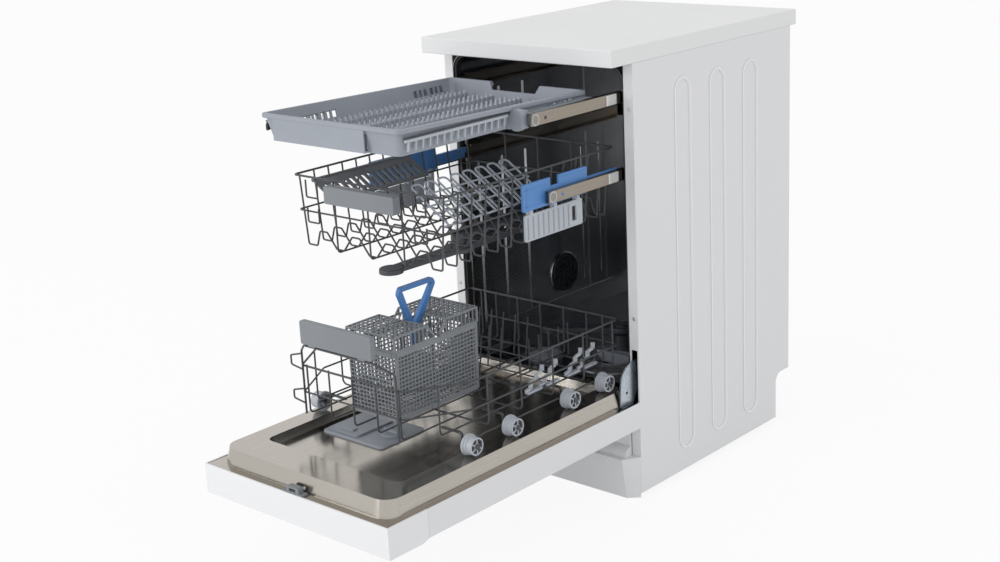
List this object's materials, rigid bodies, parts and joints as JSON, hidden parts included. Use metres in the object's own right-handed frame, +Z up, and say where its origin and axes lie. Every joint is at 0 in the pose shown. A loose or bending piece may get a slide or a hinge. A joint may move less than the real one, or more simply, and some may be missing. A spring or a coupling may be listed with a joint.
{
  "type": "dishwasher",
  "caption": "Slimline free-standing dishwasher in white, door open, with a cutlery tray, an upper basket and a lower basket pulled out.",
  "frame": {"origin": "floor level under the middle of the part's bounding box in the stored pose", "axes": "x to the right seen from the front, y from the open door towards the rear, z up"},
  "size_m": [0.45, 1.197, 0.85],
  "materials": {
    "white_board": "white laminated board",
    "white_steel": "smooth enamel",
    "white_plastic": "satin",
    "tub_steel": "bright stainless",
    "door_steel": "bright stainless",
    "filter_steel": "perforated stainless",
    "rail_steel": "polished",
    "zinc_sheet": "zinc plated",
    "screw_steel": "zinc plated",
    "black_plastic": "fine grain",
    "dark_plastic": "fine grain",
    "grey_plastic": "satin",
    "pale_plastic": "satin",
    "blue_plastic": "satin",
    "coated_wire": "nylon coated steel wire",
    "pale_wire": "nylon coated steel wire",
    "black_rubber": "moulded",
    "board_green": "solder mask",
    "display_glass": "smoked"
  },
  "bodies": {
    "cabinet": {"worktop": "white_board", "side_panel_right": "white_steel", "side_panel_left": "white_steel", "back_panel": "zinc_sheet", "base_tray": "black_plastic", "kickplate": "white_steel", "tub": "tub_steel", "door_gasket": "black_rubber", "water_duct": "grey_plastic", "ceiling_sprayer": "grey_plastic", "drying_vent": "dark_plastic", "sump": "dark_plastic", "filter_plate": "filter_steel", "rack_channels": "rail_steel", "latch_strike": "zinc_sheet", "hinge_brackets": "zinc_sheet", "feet": "black_plastic", "cabinet_screws": "screw_steel", "wash_pumps": "black_plastic", "salt_container": "grey_plastic", "inlet_valve": "black_plastic"},
    "salt_cap": {"salt_cap": "grey_plastic"},
    "filter_cup": {"filter_cup": "grey_plastic"},
    "lower_spray_arm": {"lower_spray_arm": "dark_plastic"},
    "door": {"door_skin": "white_steel", "fascia": "white_plastic", "door_liner": "door_steel", "dispenser": "grey_plastic", "door_latch": "black_plastic", "hinge_arms": "zinc_sheet", "control_board": "board_green", "display_window": "display_glass"},
    "dispenser_lid": {"dispenser_lid": "grey_plastic"},
    "rinse_cap": {"rinse_cap": "grey_plastic"},
    "power_button": {"power_button": "white_plastic"},
    "program_button": {"program_button": "white_plastic"},
    "tray_rail_right": {"tray_rail_right": "rail_steel"},
    "tray_rail_left": {"tray_rail_left": "rail_steel"},
    "cutlery_tray": {"cutlery_tray": "grey_plastic"},
    "upper_rail_right": {"upper_rail_right": "rail_steel"},
    "upper_rail_left": {"upper_rail_left": "rail_steel"},
    "basket_lifts": {"basket_lifts": "blue_plastic"},
    "upper_basket": {"upper_basket": "coated_wire", "upper_handle": "grey_plastic", "guide_plates": "pale_plastic", "spray_feed": "dark_plastic"},
    "cup_shelf_right": {"cup_shelf_right": "pale_wire"},
    "cup_shelf_left": {"cup_shelf_left": "grey_plastic"},
    "upper_spray_arm": {"upper_spray_arm": "dark_plastic"},
    "lower_basket": {"lower_basket": "coated_wire", "lower_handle": "grey_plastic"},
    "wheels_1": {"wheels_1": "pale_plastic"},
    "wheels_2": {"wheels_2": "pale_plastic"},
    "wheels_3": {"wheels_3": "pale_plastic"},
    "wheels_4": {"wheels_4": "pale_plastic"},
    "tine_row": {"tine_row": "coated_wire"},
    "cutlery_basket": {"cutlery_basket": "grey_plastic", "cutlery_handle": "blue_plastic"},
    "cutlery_lid_front": {"cutlery_lid_front": "grey_plastic"},
    "cutlery_lid_rear": {"cutlery_lid_rear": "grey_plastic"}
  },
  "joints": [
    {"name": "door_hinge", "type": "hinge", "parent": "cabinet", "child": "door", "pos_m": [0, 0.043, 0.177], "axis": [1, 0, 0], "range_deg": [-3, 0]},
    {"name": "salt_cap_turn", "type": "hinge", "parent": "cabinet", "child": "salt_cap", "pos_m": [-0.095, 0.17, 0.19], "axis": [0, 0, 1], "range_deg": [0, 90]},
    {"name": "filter_cup_turn", "type": "hinge", "parent": "cabinet", "child": "filter_cup", "pos_m": [0.03, 0.235, 0.19], "axis": [0, 0, 1], "range_deg": [0, 60]},
    {"name": "lower_spray_arm_spin", "type": "hinge", "parent": "cabinet", "child": "lower_spray_arm", "pos_m": [0, 0.305, 0.229], "axis": [0, 0, 1], "continuous": true},
    {"name": "tray_rail_right_slide", "type": "slide", "parent": "cabinet", "child": "tray_rail_right", "axis": [0, 1, 0], "range_m": [0, 0.265]},
    {"name": "tray_rail_left_slide", "type": "slide", "parent": "cabinet", "child": "tray_rail_left", "axis": [0, 1, 0], "range_m": [0, 0.265]},
    {"name": "cutlery_tray_slide", "type": "slide", "parent": "tray_rail_right", "child": "cutlery_tray", "axis": [0, 1, 0], "range_m": [0, 0.265]},
    {"name": "upper_rail_right_slide", "type": "slide", "parent": "cabinet", "child": "upper_rail_right", "axis": [0, 1, 0], "range_m": [0, 0.2325]},
    {"name": "upper_rail_left_slide", "type": "slide", "parent": "cabinet", "child": "upper_rail_left", "axis": [0, 1, 0], "range_m": [0, 0.2325]},
    {"name": "basket_lifts_slide", "type": "slide", "parent": "upper_rail_right", "child": "basket_lifts", "axis": [0, 1, 0], "range_m": [0, 0.2325]},
    {"name": "upper_basket_height", "type": "slide", "parent": "basket_lifts", "child": "upper_basket", "axis": [0, 0, 1], "range_m": [0, 0.04]},
    {"name": "cup_shelf_right_fold", "type": "hinge", "parent": "upper_basket", "child": "cup_shelf_right", "pos_m": [0.1614, -0.238, 0.615], "axis": [0, -1, 0], "range_deg": [-15, 32]},
    {"name": "cup_shelf_left_fold", "type": "hinge", "parent": "upper_basket", "child": "cup_shelf_left", "pos_m": [-0.15719, -0.239, 0.65326], "axis": [0, 1, 0], "range_deg": [-100, 0]},
    {"name": "upper_spray_arm_spin", "type": "hinge", "parent": "upper_basket", "child": "upper_spray_arm", "pos_m": [0, -0.166, 0.51], "axis": [0, 0, 1], "continuous": true},
    {"name": "lower_basket_slide", "type": "slide", "parent": "door", "child": "lower_basket", "axis": [0, 1, 0], "range_m": [0, 0.49]},
    {"name": "tine_row_fold", "type": "hinge", "parent": "lower_basket", "child": "tine_row", "pos_m": [0.084, -0.042, 0.2684], "axis": [0, 1, 0], "range_deg": [-80, 0]},
    {"name": "cutlery_basket_lift", "type": "slide", "parent": "lower_basket", "child": "cutlery_basket", "axis": [0, 0, 1], "range_m": [0, 0.02]},
    {"name": "cutlery_lid_front_open", "type": "hinge", "parent": "cutlery_basket", "child": "cutlery_lid_front", "pos_m": [0, -0.298, 0.391], "axis": [-1, 0, 0], "range_deg": [0, 24]},
    {"name": "cutlery_lid_rear_open", "type": "hinge", "parent": "cutlery_basket", "child": "cutlery_lid_rear", "pos_m": [0, -0.287, 0.391], "axis": [1, 0, 0], "range_deg": [0, 24]},
    {"name": "dispenser_lid_slide", "type": "slide", "parent": "door", "child": "dispenser_lid", "axis": [0, -1, 0], "range_m": [0, 0.04]},
    {"name": "rinse_cap_turn", "type": "hinge", "parent": "door", "child": "rinse_cap", "pos_m": [-0.016, -0.346, 0.212], "axis": [0, 0, 1], "range_deg": [0, 90]},
    {"name": "power_button_press", "type": "slide", "parent": "door", "child": "power_button", "axis": [0, 0, 1], "range_m": [0, 0.0015], "stiffness_N_per_m": 600},
    {"name": "program_button_press", "type": "slide", "parent": "door", "child": "program_button", "axis": [0, 0, 1], "range_m": [0, 0.0015], "stiffness_N_per_m": 600},
    {"name": "wheels_1_roll", "type": "hinge", "parent": "lower_basket", "child": "wheels_1", "pos_m": [0.1865, -0.355, 0.24], "axis": [1, 0, 0], "range_deg": [-1530, 0]},
    {"name": "wheels_2_roll", "type": "hinge", "parent": "lower_basket", "child": "wheels_2", "pos_m": [0.1865, -0.251, 0.24], "axis": [1, 0, 0], "range_deg": [-1530, 0]},
    {"name": "wheels_3_roll", "type": "hinge", "parent": "lower_basket", "child": "wheels_3", "pos_m": [0.1865, -0.094, 0.24], "axis": [1, 0, 0], "range_deg": [-1530, 0]},
    {"name": "wheels_4_roll", "type": "hinge", "parent": "lower_basket", "child": "wheels_4", "pos_m": [0.1865, 0.006, 0.24], "axis": [1, 0, 0], "range_deg": [-1530, 0]}
  ],
  "couplings": [
    {"joint": "tray_rail_left_slide", "follows": "tray_rail_right_slide", "ratio": 1},
    {"joint": "upper_rail_left_slide", "follows": "upper_rail_right_slide", "ratio": 1},
    {"joint": "wheels_1_roll", "follows": "lower_basket_slide", "rad_per_m": -54.054},
    {"joint": "wheels_2_roll", "follows": "lower_basket_slide", "rad_per_m": -54.054},
    {"joint": "wheels_3_roll", "follows": "lower_basket_slide", "rad_per_m": -54.054},
    {"joint": "wheels_4_roll", "follows": "lower_basket_slide", "rad_per_m": -54.054}
  ]
}
